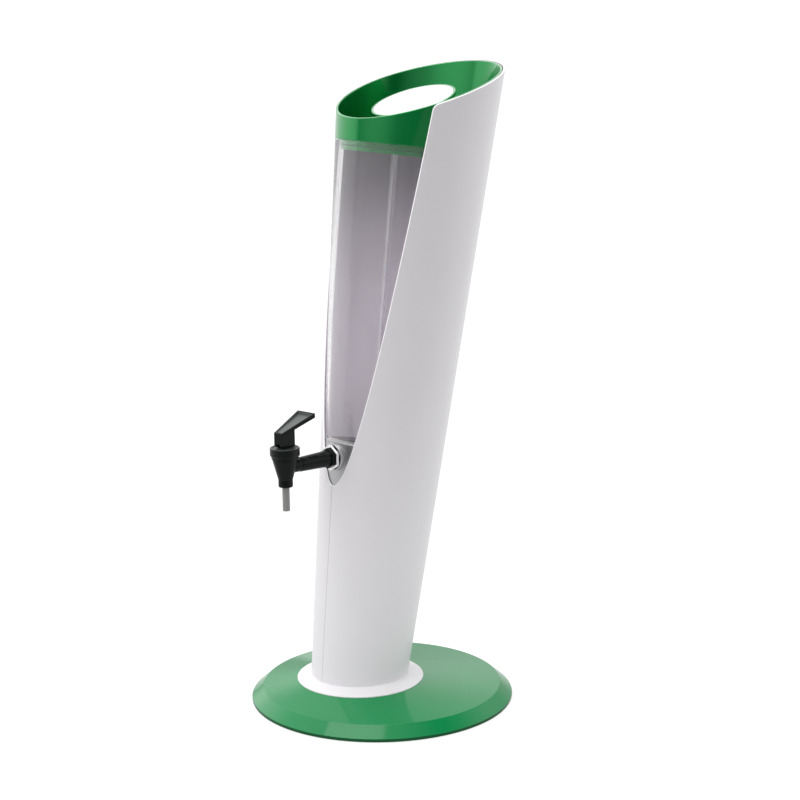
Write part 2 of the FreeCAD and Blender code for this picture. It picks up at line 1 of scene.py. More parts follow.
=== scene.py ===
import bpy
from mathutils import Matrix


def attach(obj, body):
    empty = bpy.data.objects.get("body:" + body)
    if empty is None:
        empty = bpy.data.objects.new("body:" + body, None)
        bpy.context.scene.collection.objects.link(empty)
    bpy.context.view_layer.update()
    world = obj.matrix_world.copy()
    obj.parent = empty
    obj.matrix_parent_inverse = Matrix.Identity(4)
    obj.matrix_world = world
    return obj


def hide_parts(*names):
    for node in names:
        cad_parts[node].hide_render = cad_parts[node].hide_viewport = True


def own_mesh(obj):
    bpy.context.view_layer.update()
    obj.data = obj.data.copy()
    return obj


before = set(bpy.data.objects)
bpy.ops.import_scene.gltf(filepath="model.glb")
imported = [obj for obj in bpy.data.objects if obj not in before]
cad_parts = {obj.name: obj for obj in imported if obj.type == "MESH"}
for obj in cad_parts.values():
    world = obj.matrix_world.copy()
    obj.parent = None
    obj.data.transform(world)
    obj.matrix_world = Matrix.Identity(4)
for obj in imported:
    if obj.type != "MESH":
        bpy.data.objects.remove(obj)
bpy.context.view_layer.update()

import math

import bmesh
import bpy
from mathutils import Matrix, Vector

# ---------------------------------------------------------------------------
# Dimensions in millimetres, in the part's own frame
# ---------------------------------------------------------------------------
LAM = math.radians(8.58)
A0 = Vector((0.0, -28.6, 32.2))
AX = Vector((0.0, math.sin(LAM), math.cos(LAM)))
E1 = Vector((1.0, 0.0, 0.0))
E2 = Vector((0.0, math.cos(LAM), -math.sin(LAM)))
R0, TAPER, WALL, GAP = 47.63, 0.0564, 2.0, 0.35
RIM0, RIM1, RIM2 = 583.4, 0.3149, -0.0003
CUT_Z, CUT_SLOPE, CORNER_R = 227.2, 4.834, 8.0
OFF_OUT = -WALL - GAP
OFF_TUBE = OFF_OUT - 0.25
OFF_TIN = OFF_TUBE - 4.0
TAP_Z, VALVE_Y, PIN_Z, YAW = 254.7, -113.4, 279.3, 10.0
MM = 0.001
# soft light from the studio: degrees round from the camera's side to the right, degrees up, strength
PANELS = [(90, 12, 1.20), (135, 12, 0.74), (0, 50, 0.82), (200, 46, 1.22), (300, 38, 0.94), (0, 90, 0.10), (315, 12, 0.12), (270, 60, 0.23)]
SHEET = (240, 5, 0.75, 0.95, 1.05)      # tall sheet behind to the left: direction, falloff, strength
SHEET_EDGE = 269.4                      # its upright front edge
SOFT = 1.56
BACKDROP = 0.42           # pale wall behind, seen in grazing reflections
FLOOR_NEAR, FLOOR_FAR = 0.56, 0.0


def rad(s):
    return R0 + TAPER * s


def rim_z(y):
    return RIM0 + RIM1 * y + RIM2 * y * y


def cone(th, s, off):
    r = rad(s) + off
    return A0 + AX * s + E1 * (r * math.cos(th)) + E2 * (r * math.sin(th))


def station_at_z(th, z, off):
    k = math.sin(th) * math.sin(LAM)
    return (z - A0.z + (R0 + off) * k) / (math.cos(LAM) - TAPER * k)


def station_at_rim(th, off):
    lo, hi = 400.0, 700.0
    for _ in range(44):
        m = (lo + hi) / 2
        p = cone(th, m, off)
        if p.z < rim_z(p.y):
            lo = m
        else:
            hi = m
    return lo


TOWER = Matrix.Translation(A0) @ Matrix((
    (E1.x, E2.x, AX.x, 0), (E1.y, E2.y, AX.y, 0), (E1.z, E2.z, AX.z, 0), (0, 0, 0, 1)))
VALVE = Matrix.Translation((0, VALVE_Y, 0))


def forwards(y):
    """Local +Z runs along -Y from y at the tap's height, local +X is up."""
    return Matrix.Translation((0, y, TAP_Z)) @ Matrix(((0, -1, 0, 0), (0, 0, -1, 0), (1, 0, 0, 0), (0, 0, 0, 1)))


DISC_C = Vector((0.0, 51.2, 588.7))
TILT = math.radians(17.6)
KNOB = Matrix.Translation(DISC_C) @ Matrix.Rotation(TILT, 4, 'X')


# ---------------------------------------------------------------------------
# Mesh helpers
# ---------------------------------------------------------------------------
def rounded(pts, n=5):
    """Closed polygon of 3-D points (vector, radius) with its corners rounded."""
    out = []
    m = len(pts)
    for i in range(m):
        p, r = pts[i]
        if r <= 0:
            out.append(p)
            continue
        d0 = (pts[i - 1][0] - p).normalized()
        d2 = (pts[(i + 1) % m][0] - p).normalized()
        ang = d0.angle(d2)
        if ang > math.radians(178.5):
            out.append(p)
            continue
        t = r / math.tan(ang / 2)
        c = p + (d0 + d2).normalized() * (r / math.sin(ang / 2))
        a, b = p + d0 * t - c, p + d2 * t - c
        full = a.angle(b)
        for k in range(n + 1):
            u = k / n
            v = (a * math.sin((1 - u) * full) + b * math.sin(u * full)) / math.sin(full)
            out.append(c + v)
    return out


def profile(pts, n=5):
    """(radius, height[, corner radius]) to a rounded list of (r, z)."""
    q = rounded([(Vector((p[0], 0, p[1])), p[2] if len(p) > 2 else 0.0) for p in pts], n)
    return [(v.x, v.z) for v in q]


class Shell:
    """Collects closed shells of one piece, in millimetres."""

    def __init__(self):
        self.bm = bmesh.new()

    def loops(self, loops, closed=True, caps=False):
        bm = self.bm
        rows = [[bm.verts.new(p) for p in lp] for lp in loops]
        n, m = len(rows), len(rows[0])
        for i in range(n if closed else n - 1):
            a, b = rows[i], rows[(i + 1) % n]
            for j in range(m):
                k = (j + 1) % m
                vs = []
                for v in (a[j], a[k], b[k], b[j]):
                    if not vs or (v.co - vs[-1].co).length > 1e-7:
                        vs.append(v)
                if len(vs) > 2 and (vs[0].co - vs[-1].co).length < 1e-7:
                    vs.pop()
                if len(vs) > 2:
                    bm.faces.new(vs)
        if caps:
            bm.faces.new(rows[0][::-1])
            bm.faces.new(rows[-1])
        return rows

    def lathe(self, pts, place=Matrix.Identity(4), segs=128, n=5, rounds=True):
        prof = profile(pts, n) if rounds else [(p[0], p[1]) for p in pts]
        loops = []
        for i in range(segs):
            a = 2 * math.pi * i / segs
            loops.append([place @ Vector((r * math.cos(a), r * math.sin(a), z)) for r, z in prof])
        self.loops(loops)

    def prism_hex(self, rc, h, place, bore, chamfer_front, chamfer_back, edge=0.35, segs=180):
        """Six-sided nut with a bore, corners turned down at both faces."""
        ap = rc * math.cos(math.pi / 6)
        rows_z = [0.0, 0.12, 0.3, 0.6, 1.0, h / 2, h - 1.0, h - 0.6, h - 0.3, h - 0.12, h]
        rows_z = sorted(set(z for z in rows_z if 0 <= z <= h))
        loops = []
        for i in range(segs):
            a = 2 * math.pi * i / segs
            f = (a + math.pi / 6) % (math.pi / 3) - math.pi / 6
            f2 = (a % (math.pi / 3)) - math.pi / 6
            rh = ap / math.cos(f2)
            rh = min(rh, rc - 0.25)
            lp = []
            for z in rows_z:
                r = rh
                if z < chamfer_back[1]:
                    r = min(r, rc - chamfer_back[0] * (1 - z / chamfer_back[1]) ** 1.6)
                if h - z < chamfer_front[1]:
                    r = min(r, rc - chamfer_front[0] * (1 - (h - z) / chamfer_front[1]) ** 1.6)
                e = 0.0
                if z < edge:
                    e = edge - math.sqrt(max(edge ** 2 - (edge - z) ** 2, 0))
                if h - z < edge:
                    e = edge - math.sqrt(max(edge ** 2 - (edge - (h - z)) ** 2, 0))
                lp.append(((r - e * 0.5), z))
            lp += [(bore + 0.35, h), (bore, h - 0.35), (bore, 0.35), (bore + 0.35, 0.0)]
            loops.append([place @ Vector((r * math.cos(a), r * math.sin(a), z)) for r, z in lp])
        self.loops(loops)

    def finish(self, name, body, mat, replaces=(), slot=None, sharp=40.0, weighted=True):
        bm = self.bm
        bmesh.ops.remove_doubles(bm, verts=bm.verts, dist=1e-4)
        bmesh.ops.dissolve_degenerate(bm, edges=bm.edges, dist=1e-4)
        bmesh.ops.recalc_face_normals(bm, faces=bm.faces)
        bmesh.ops.scale(bm, vec=(MM, MM, MM), verts=bm.verts)
        me = bpy.data.meshes.new(name)
        bm.to_mesh(me)
        bm.free()
        return dress(me, name, body, mat, replaces, sharp, weighted)


def dress(me, name, body, mat, replaces=(), sharp=40.0, weighted=True):
    me.shade_smooth()
    me.set_sharp_from_angle(angle=math.radians(sharp))
    ob = bpy.data.objects.new(name, me)
    bpy.context.scene.collection.objects.link(ob)
    ob.data.materials.append(mat)
    if weighted:
        w = ob.modifiers.new("weighted", 'WEIGHTED_NORMAL')
        w.keep_sharp = True
        w.weight = 60
    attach(ob, body)
    if replaces:
        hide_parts(*replaces)
    return ob


def let_light_through(ob):
    """Clear plastic takes nothing from the light that falls on what is behind it."""
    ob.visible_diffuse = False
    ob.visible_shadow = False


# ---------------------------------------------------------------------------
# Materials
# ---------------------------------------------------------------------------
def material(name, color, rough, metallic=0.0, spread=0.03, grain=900.0, bump=0.02, bump_scale=1400.0,
             rough_spread=0.05, ior=1.5, coat=0.0, coat_rough=0.05, stretch=(1, 1, 1), spec=0.5, sub=0.0):
    m = bpy.data.materials.new(name)
    m.use_nodes = True
    nt = m.node_tree
    nt.nodes.clear()
    out = nt.nodes.new("ShaderNodeOutputMaterial")
    p = nt.nodes.new("ShaderNodeBsdfPrincipled")
    nt.links.new(p.outputs[0], out.inputs[0])
    tc = nt.nodes.new("ShaderNodeTexCoord")
    mp = nt.nodes.new("ShaderNodeMapping")
    mp.inputs["Scale"].default_value = stretch
    nt.links.new(tc.outputs["Object"], mp.inputs["Vector"])
    # slow colour drift of a moulded surface
    n1 = nt.nodes.new("ShaderNodeTexNoise")
    n1.inputs["Scale"].default_value = 14.0
    n1.inputs["Detail"].default_value = 3.0
    nt.links.new(mp.outputs[0], n1.inputs["Vector"])
    ramp = nt.nodes.new("ShaderNodeValToRGB")
    ramp.color_ramp.elements[0].position = 0.3
    ramp.color_ramp.elements[1].position = 0.7
    ramp.color_ramp.elements[0].color = tuple(max(0.0, c * (1 - spread)) for c in color) + (1,)
    ramp.color_ramp.elements[1].color = tuple(min(1.0, c * (1 + spread)) for c in color) + (1,)
    nt.links.new(n1.outputs["Fac"], ramp.inputs[0])
    nt.links.new(ramp.outputs[0], p.inputs["Base Color"])
    # roughness wanders a little with finger marks and mould texture
    n2 = nt.nodes.new("ShaderNodeTexNoise")
    n2.inputs["Scale"].default_value = grain
    n2.inputs["Detail"].default_value = 2.0
    nt.links.new(mp.outputs[0], n2.inputs["Vector"])
    mr = nt.nodes.new("ShaderNodeMapRange")
    mr.inputs["To Min"].default_value = max(0.0, rough - rough_spread)
    mr.inputs["To Max"].default_value = rough + rough_spread
    nt.links.new(n2.outputs["Fac"], mr.inputs["Value"])
    nt.links.new(mr.outputs[0], p.inputs["Roughness"])
    if bump > 0:
        n3 = nt.nodes.new("ShaderNodeTexNoise")
        n3.inputs["Scale"].default_value = bump_scale
        n3.inputs["Detail"].default_value = 2.0
        nt.links.new(mp.outputs[0], n3.inputs["Vector"])
        b = nt.nodes.new("ShaderNodeBump")
        b.inputs["Strength"].default_value = bump
        b.inputs["Distance"].default_value = 0.0004
        nt.links.new(n3.outputs["Fac"], b.inputs["Height"])
        nt.links.new(b.outputs[0], p.inputs["Normal"])
    p.inputs["Metallic"].default_value = metallic
    p.inputs["IOR"].default_value = ior
    p.inputs["Specular IOR Level"].default_value = spec
    p.inputs["Coat Weight"].default_value = coat
    p.inputs["Coat Roughness"].default_value = coat_rough
    if sub > 0:
        p.inputs["Subsurface Weight"].default_value = sub
        p.inputs["Subsurface Scale"].default_value = 0.004
    m.diffuse_color = tuple(color) + (1,)
    return m


def clear_material(name, color, rough, ior=1.49, grazing_sheen=0.0):
    m = material(name, color, rough, spread=0.01, rough_spread=0.015, bump=0.0, ior=ior, grain=60.0)
    nt = m.node_tree
    p = [n for n in nt.nodes if n.type == 'BSDF_PRINCIPLED'][0]
    out = [n for n in nt.nodes if n.type == 'OUTPUT_MATERIAL'][0]
    p.inputs["Transmission Weight"].default_value = 0.965
    if grazing_sheen > 0:
        # painted sheen: the outer wall turns partly diffuse white where it is seen along its length
        lw = nt.nodes.new("ShaderNodeLayerWeight")
        lw.inputs["Blend"].default_value = 0.5
        mr = nt.nodes.new("ShaderNodeMapRange")
        mr.interpolation_type = 'SMOOTHSTEP'
        mr.inputs["From Min"].default_value = 0.38
        mr.inputs["From Max"].default_value = 0.44
        mr.inputs["To Min"].default_value = 0.965
        mr.inputs["To Max"].default_value = 0.965 - grazing_sheen
        nt.links.new(lw.outputs["Facing"], mr.inputs["Value"])
        nt.links.new(mr.outputs[0], p.inputs["Transmission Weight"])
    lp = nt.nodes.new("ShaderNodeLightPath")
    tr = nt.nodes.new("ShaderNodeBsdfTransparent")
    tr.inputs["Color"].default_value = tuple(color) + (1,)
    mix = nt.nodes.new("ShaderNodeMixShader")
    either = nt.nodes.new("ShaderNodeMath")
    either.operation = 'MAXIMUM'
    nt.links.new(lp.outputs["Is Shadow Ray"], either.inputs[0])
    nt.links.new(lp.outputs["Is Diffuse Ray"], either.inputs[1])
    deep = nt.nodes.new("ShaderNodeMath")
    deep.operation = 'GREATER_THAN'
    nt.links.new(lp.outputs["Ray Depth"], deep.inputs[0])
    deep.inputs[1].default_value = 4.5
    last = nt.nodes.new("ShaderNodeMath")
    last.operation = 'MAXIMUM'
    nt.links.new(either.outputs[0], last.inputs[0])
    nt.links.new(deep.outputs[0], last.inputs[1])
    nt.links.new(last.outputs[0], mix.inputs[0])
    nt.links.new(p.outputs[0], mix.inputs[1])
    nt.links.new(tr.outputs[0], mix.inputs[2])
    nt.links.new(mix.outputs[0], out.inputs[0])
    return m


GREEN = material("green_gloss", (0.006, 0.30, 0.068), 0.24, metallic=0.65, coat=0.75, coat_rough=0.05, spread=0.05, rough_spread=0.02, spec=0.05, bump=0.012, bump_scale=500, grain=200)
GREEN_BASE = material("green_gloss_base", (0.003, 0.262, 0.074), 0.08, spread=0.04, rough_spread=0.02, spec=0.47, bump=0.008, bump_scale=400, grain=200)
# painted shade: a darker copy of the base green for its low upright rim
GREEN_RIM_SHADE = material("green_gloss_rim_painted_shade", (0.004, 0.085, 0.026), 0.16, spread=0.04, rough_spread=0.02, spec=0.16, bump=0.008, bump_scale=400, grain=200)
CASING = material("casing_white", (0.83, 0.81, 0.84), 0.30, spread=0.012, bump=0.02, bump_scale=900, grain=250)
# painted light: the inner faces of the casing get a brighter, pinker white than the outside
CASING_INSIDE_PAINTED = material("casing_inside_painted_light_and_shade", (0.98, 0.93, 0.99), 0.42, spread=0.012, bump=0.02, bump_scale=900, grain=250)
# painted highlight: the cut edges of the casing get a brighter, glossier white with a faint glow
CASING_EDGE_GLOW = material("casing_edge_painted_highlight", (0.98, 0.965, 0.985), 0.14, coat=1.0, coat_rough=0.06, spec=1.0, spread=0.008, bump=0.02, bump_scale=900, grain=250)
for _n in CASING_EDGE_GLOW.node_tree.nodes:
    if _n.type == 'BSDF_PRINCIPLED':      # painted highlight: a faint white glow of its own on the cut edge
        _n.inputs["Emission Color"].default_value = (1.0, 0.985, 1.0, 1)
        _n.inputs["Emission Strength"].default_value = 0.34
WHITE = material("ring_white", (0.885, 0.87, 0.895), 0.32, spread=0.012, bump=0.02, bump_scale=900, grain=250)
DISC = material("disc_white", (0.93, 0.925, 0.93), 0.35, spread=0.008, bump=0.02, bump_scale=1200, grain=300)
BLACK = material("tap_black", (0.003, 0.0055, 0.005), 0.22, coat=0.15, coat_rough=0.07, spec=0.08, spread=0.15, bump=0.06, bump_scale=1800, grain=600, rough_spread=0.05)
BONNET = material("tap_black_ring", (0.003, 0.006, 0.005), 0.30, spec=0.24, spread=0.15, bump=0.10, bump_scale=1800, grain=600, rough_spread=0.07)
# painted highlight: a lighter grey copy of the tap black for the bonnet's top faces, which catch the light from above
BONNET_TOP_HIGHLIGHT = material("tap_black_rim_painted_highlight", (0.060, 0.082, 0.075), 0.42, spec=0.5, spread=0.15, bump=0.10, bump_scale=1800, grain=600)
# matt black with painted sheen: the lighter grey stands in for the light the sunk tray catches from above
TRAY_PAINTED_SHEEN = material("tap_black_tray_painted_sheen", (0.125, 0.138, 0.134), 0.50, spec=0.5, spread=0.35, bump=0.35, bump_scale=900, grain=600, rough_spread=0.08)
CHROME = material("chrome", (0.86, 0.865, 0.87), 0.20, metallic=1.0, spread=0.02, bump=0.03, bump_scale=160, grain=120, rough_spread=0.04)
CUPMAT = material("chrome_cup", (0.485, 0.48, 0.495), 0.34, metallic=1.0, spread=0.04, bump=0.05, bump_scale=120, grain=120, rough_spread=0.05)
RUBBER = material("black_rubber", (0.02, 0.02, 0.02), 0.7, spread=0.2, bump=0.2, bump_scale=2500)
DARK = material("dark_plastic", (0.05, 0.05, 0.055), 0.45, spread=0.1, bump=0.08, bump_scale=1500)
IRON = material("ballast_iron", (0.10, 0.10, 0.105), 0.75, metallic=0.6, spread=0.25, bump=0.5, bump_scale=500)
STEEL = material("screw_steel", (0.58, 0.58, 0.59), 0.28, metallic=1.0, spread=0.06, bump=0.05, bump_scale=900, stretch=(1, 1, 12))
SILICONE = material("silicone", (0.70, 0.70, 0.69), 0.5, spread=0.04, bump=0.05, sub=0.3)
SEAL_GREEN = material("lid_seal_green", (0.010, 0.12, 0.045), 0.5, spread=0.08, bump=0.05, bump_scale=900)
OUTLET = material("outlet_silicone", (0.275, 0.275, 0.265), 0.38, spread=0.06, bump=0.04, bump_scale=700)
CLEAR = clear_material("clear_canister", (0.965, 0.957, 0.97), 0.02)
# the ice tube's outer skin carries a painted sheen where it is seen at a grazing angle
CLEAR_ICE_GRAZING_SHEEN = clear_material("clear_ice_tube_painted_sheen", (0.985, 0.98, 0.99), 0.02, grazing_sheen=0.33)



def fade_up(m, stops):
    """Multiplies the base colour by a ramp over the height above the table, (height in mm, factor) pairs."""
    nt = m.node_tree
    p = [n for n in nt.nodes if n.type == 'BSDF_PRINCIPLED'][0]
    old = p.inputs["Base Color"].links[0].from_socket
    tc = nt.nodes.new("ShaderNodeTexCoord")
    sp = nt.nodes.new("ShaderNodeSeparateXYZ")
    nt.links.new(tc.outputs["Object"], sp.inputs[0])
    lo, hi = stops[0][0], stops[-1][0]
    mr = nt.nodes.new("ShaderNodeMapRange")
    mr.inputs["From Min"].default_value = lo * MM
    mr.inputs["From Max"].default_value = hi * MM
    nt.links.new(sp.outputs["Z"], mr.inputs["Value"])
    ramp = nt.nodes.new("ShaderNodeValToRGB")
    while len(ramp.color_ramp.elements) < len(stops):
        ramp.color_ramp.elements.new(0.5)
    for e, (z, k) in zip(ramp.color_ramp.elements, stops):
        e.position = (z - lo) / (hi - lo)
        e.color = tuple(k) + (1,)
    nt.links.new(mr.outputs[0], ramp.inputs[0])
    mul = nt.nodes.new("ShaderNodeMix")
    mul.data_type = 'RGBA'
    mul.blend_type = 'MULTIPLY'
    mul.inputs["Factor"].default_value = 1.0
    ins = [i for i in mul.inputs if i.type == 'RGBA']
    nt.links.new(old, ins[0])
    nt.links.new(ramp.outputs[0], ins[1])
    nt.links.new([o for o in mul.outputs if o.type == 'RGBA'][0], p.inputs["Base Color"])


# painted shade: the inner white darkens towards the top, where the lid shades it
fade_up(CASING_INSIDE_PAINTED, [(250, (1.0, 1.0, 1.0)), (400, (0.97, 0.96, 0.97)), (455, (0.84, 0.80, 0.84)), (500, (0.52, 0.47, 0.52)), (560, (0.38, 0.33, 0.38))])

NODE_MATERIALS = {
    "base_ballast": IRON, "base_plate": DARK, "base_pad": RUBBER, "base_screws": STEEL, "tower_screws": STEEL,
    "canister_shelf": WHITE, "shelf_cushion": RUBBER, "tube_gasket": SILICONE, "tap_inner_gasket": SILICONE,
    "tap_back_nut": BLACK, "cam_washer": DARK, "valve_stem": DARK, "seat_cup": SILICONE, "valve_spring": STEEL,
    "lid_seal": SEAL_GREEN, "ice_tube_seal": SILICONE, "tap_outer_gasket": RUBBER, "lever_pin": BLACK}
for node, mat in NODE_MATERIALS.items():
    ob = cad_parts[node]
    if not ob.material_slots:
        ob.data.materials.append(mat)
    for sl in ob.material_slots:
        sl.material = mat

# ---------------------------------------------------------------------------
# Base
# ---------------------------------------------------------------------------
BASE_R, BASE_Z1, BASE_RT, BASE_Z2 = 130.0, 3.8, 118.1, 13.85
RING_R, RING_Y, RING_Z = 62.3, -27.6, 26.4


def circ(r, y, z, a):
    return Vector((r * math.cos(a), y + r * math.sin(a), z))


sh = Shell()
loops = []
for i in range(256):
    a = 2 * math.pi * i / 256
    loops.append(rounded([
        (Vector((0, RING_Y, RING_Z)), 0), (circ(RING_R, RING_Y, RING_Z, a), 0.25), (circ(BASE_RT, 0, BASE_Z2, a), 1.6),
        (circ(BASE_R, 0, BASE_Z1, a), 1.1), (circ(BASE_R, 0, 0.6, a), 0.9), (circ(BASE_R - 3.0, 0, 0.6, a), 0.2),
        (circ(BASE_R - 3.0, 0, 3.2, a), 0), (circ(115.8, 0, 10.85, a), 0), (circ(60.3, RING_Y, 23.4, a), 0),
        (Vector((0, RING_Y, 23.4)), 0)], 5))
sh.loops(loops)
ob = sh.finish("base_shell", "stand", GREEN_BASE, ("base_cover",), "green_plastic")
ob.data.materials.append(GREEN_RIM_SHADE)
for f in ob.data.polygons:      # painted shade: the low upright rim gets the darker copy of the green
    if f.normal.z < 0.55 and f.center.z < BASE_Z1 * MM:
        f.material_index = 1

sh = Shell()
loops = []
for i in range(200):
    a = 2 * math.pi * i / 200
    s_top, s_mid, s_low = station_at_z(a, 33.4, 0.05), station_at_z(a, 31.9, 0.05), station_at_z(a, RING_Z, 0.05)
    ins = cone(a, s_low, 0.05)
    loops.append(rounded([
        (ins, 0), (circ(RING_R, RING_Y, RING_Z, a), 0.15), (circ(RING_R, RING_Y, RING_Z + 1.05, a), 0.5),
        (circ(51.2, RING_Y, 31.7, a), 5.0), (cone(a, station_at_z(a, 32.3, 0.05), 0.05), 0)], 6))
sh.loops(loops)
sh.finish("foot_trim", "stand", WHITE, ("foot_ring",), "white_plastic")


# ---------------------------------------------------------------------------
# Tower casing halves
# ---------------------------------------------------------------------------
def front_at(z, off=0.0):
    s = (z - A0.z - (R0 + off) * math.sin(LAM)) / (math.cos(LAM) + TAPER * math.sin(LAM))
    return A0.y + s * math.sin(LAM) - (rad(s) + off) * math.cos(LAM)


def theta_s(y, z):
    p = Vector((0, y, z)) - A0
    s, rho = p.dot(AX), p.dot(E2)
    return math.atan2(rho, math.sqrt(max(rad(s) ** 2 - rho ** 2, 0.0))), s


y_n = front_at(CUT_Z)
yc = 0.0
for _ in range(60):
    yc = y_n + (rim_z(yc) - CUT_Z) / CUT_SLOPE
corner = Vector((0, yc, rim_z(yc)))
u_cut = Vector((0, -1.0, -CUT_SLOPE)).normalized()
u_rim = Vector((0, 1.0, RIM1 + 2 * RIM2 * yc)).normalized()
ang_c = u_cut.angle(u_rim)
t_c = CORNER_R / math.tan(ang_c / 2)
centre_c = corner + (u_cut + u_rim).normalized() * (CORNER_R / math.sin(ang_c / 2))
T1, T2 = corner + u_cut * t_c, corner + u_rim * t_c
lo, hi = 100.0, 200.0
for _ in range(60):
    mid = (lo + hi) / 2
    p = Vector((0, mid, rim_z(mid))) - A0
    if p.dot(E2) < rad(p.dot(AX)):
        lo = mid
    else:
        hi = mid
Y_BACK = lo


def rim_lean(y, th):
    m = RIM1 + 2 * RIM2 * y
    st = math.sin(th)
    return st * (math.sin(LAM) + m * math.cos(LAM)) / (
        math.cos(LAM) - TAPER * st * math.sin(LAM) - m * (math.sin(LAM) + TAPER * st * math.cos(LAM)))


def outline():
    """(theta, station, lean) from the bottom of the open front to the back."""
    out = []
    us = [0.0, 0.0022, 0.0068] + [0.0068 + (1 - 0.0068) * (i / 110) for i in range(1, 111)]
    for i, u in enumerate(us):
        w = u * u
        th, s = theta_s(y_n + (T1.y - y_n) * w, CUT_Z + (T1.z - CUT_Z) * w)
        out.append((-math.pi / 2 if i == 0 else th, s, 0.0))
    d1, d2 = T1 - centre_c, T2 - centre_c
    full = d1.angle(d2)
    for i in range(1, 15):
        u = i / 14
        d = (d1 * math.sin((1 - u) * full) + d2 * math.sin(u * full)) / math.sin(full)
        y, z = centre_c.y + d.y, centre_c.z + d.z
        th, s = theta_s(y, z)
        out.append((th, s, u * rim_lean(y, th)))
    us = [i / 110 * (1 - 0.006) for i in range(1, 111)] + [1 - 0.002, 1.0]
    for i, u in enumerate(us):
        w = 1 - (1 - u) ** 2
        y = T2.y + (Y_BACK - T2.y) * w
        th, s = theta_s(y, rim_z(y))
        if u == 1.0:
            th = math.pi / 2
        out.append((th, s, rim_lean(y, th)))
    return out


def casing_half(side):
    pts = outline()
    n = len(pts)
    dev = []
    for i in range(n):
        a, b = pts[max(i - 1, 0)], pts[min(i + 1, n - 1)]
        r = rad(pts[i][1])
        du, dv = r * (b[0] - a[0]), (b[1] - a[1])
        if i in (0, n - 1):
            dv = 0.0
        ln = math.hypot(du, dv)
        dev.append((dv / ln / r, -du / ln))        # towards the wall, per mm
    inset = {0: 0.62, 1: 0.24, 2: 0.0, n - 1: 0.62, n - 2: 0.24, n - 3: 0.0}
    ro, ri = 1.15, 0.5
    low = [0.02, 0.045, 0.08, 0.13, 0.20, 0.28, 0.37, 0.47, 0.57, 0.67, 0.77, 0.86, 0.94]
    cols = []
    for i in range(n):
        th, s, g = pts[i]
        nx, ns = dev[i]
        k = inset.get(i, 0.0)

        def at(d, off, th=th, s=s, g=g, nx=nx, ns=ns, k=k):
            off = min(-k, max(-WALL + k, off))
            return cone(th + nx * d, s + ns * d + g * off, off)

        rows = []
        th7, s7 = th + nx * 7.0, s + ns * 7.0
        bot = station_at_z(th7, 26.45, 0.0)
        rows.append(cone(th7, bot, -k))
        for f in low:
            rows.append(cone(th7, bot + (s7 - bot) * f, -k))
        for d in (7.0, 4.2, 2.2):
            rows.append(at(d, 0.0))
        for q in range(7):
            a = math.pi / 2 * q / 6
            rows.append(at(ro * (1 - math.sin(a)), -ro * (1 - math.cos(a))))
        for q in range(6):
            a = math.pi / 2 * (1 - q / 5)
            rows.append(at(ri * (1 - math.sin(a)), -WALL + ri * (1 - math.cos(a))))
        for d in (2.2, 4.2, 7.0):
            rows.append(at(d, -WALL))
        for f in reversed(low):
            sv = bot + (s7 - bot) * f
            if sv > 182.0 or f > 0.9:
                rows.append(cone(th7, sv, -WALL + k))
            else:
                rows.append(cone(th7, 178.6 - 0.001 * (0.9 - f), -WALL + k))
        rows.append(cone(th7, 178.6, -WALL - 3.4))
        rows.append(cone(th7, 176.1, -WALL - 3.4))
        rows.append(cone(th7, 172.6, -WALL + k))
        rows.append(cone(th7, bot, -WALL + k))
        eps = 0.02
        cols.append([Vector((side * max(v.x, 0.0) + side * eps, v.y, v.z)) for v in rows])
    sh = Shell()
    sh.loops(cols, closed=False, caps=True)
    return sh


def paint_inner_and_edge_light(ob, mat, edge):
    """The faces that look at the canister get the inside white with its painted light and shade, the cut edges a
    brighter white with a painted highlight.
    """
    ob.data.materials.append(mat)
    ob.data.materials.append(edge)
    for f in ob.data.polygons:
        c = Vector(f.center) / MM - A0
        s = c.dot(AX)
        out = (c - AX * s).normalized()
        facing = Vector(f.normal).dot(out)
        if facing < -0.6 and (c - AX * s).length < rad(s) - WALL + 0.3:
            f.material_index = 1
        elif abs(facing) < 0.8 and not (abs(c.x) < 1.6 and abs(f.normal.x) > 0.25):
            f.material_index = 2
    return ob


paint_inner_and_edge_light(casing_half(1).finish("casing_shell_right", "stand", CASING, ("casing_right",), "casing_plastic", sharp=50), CASING_INSIDE_PAINTED, CASING_EDGE_GLOW)
paint_inner_and_edge_light(casing_half(-1).finish("casing_shell_left", "stand", CASING, ("casing_left",), "casing_plastic", sharp=50), CASING_INSIDE_PAINTED, CASING_EDGE_GLOW)


# ---------------------------------------------------------------------------
# Canister, cup, tap
# ---------------------------------------------------------------------------
def tower_pts(pts):
    out = []
    for p in pts:
        if p[0] == "r":
            out.append(tuple(p[1:]))
        else:
            out.append((rad(p[1]) + p[0],) + tuple(p[1:]))
    return out


sh = Shell()
sh.lathe(tower_pts([(OFF_TIN, 231.5, 0.3), (OFF_TUBE, 231.5, 0.3), (OFF_TUBE, 517.65, 0.15), (OFF_TIN, 517.65, 0.15)]), TOWER, 720)
let_light_through(sh.finish("canister_clear_tube", "canister", CLEAR, ("canister_tube",), "clear_plastic", weighted=False))

CUP_IN = OFF_OUT - 2.6
sh = Shell()
sh.lathe(tower_pts([("r", 0, 200.0), (CUP_IN, 200.0), (CUP_IN, 183.0, 0.4), (OFF_OUT, 183.0, 0.7), (OFF_OUT, 231.0, 0.9),
                    (OFF_TIN - 0.1, 231.0), (OFF_TIN - 0.1, 233.6, 0.5), (OFF_TIN - 1.7, 233.6, 0.6), (OFF_TIN - 1.7, 229.8),
                    (CUP_IN, 228.6), (CUP_IN, 203.0, 3.0), ("r", 0, 203.0)]), TOWER, 200)
sh.lathe([(8.35, 0), (13.4, 0), (13.4, 7.6, 0.9), (8.35, 7.6)], forwards(-49.2), 96)
sh.finish("bottom_cup", "canister", CUPMAT, ("canister_cup",), "chrome_plate")

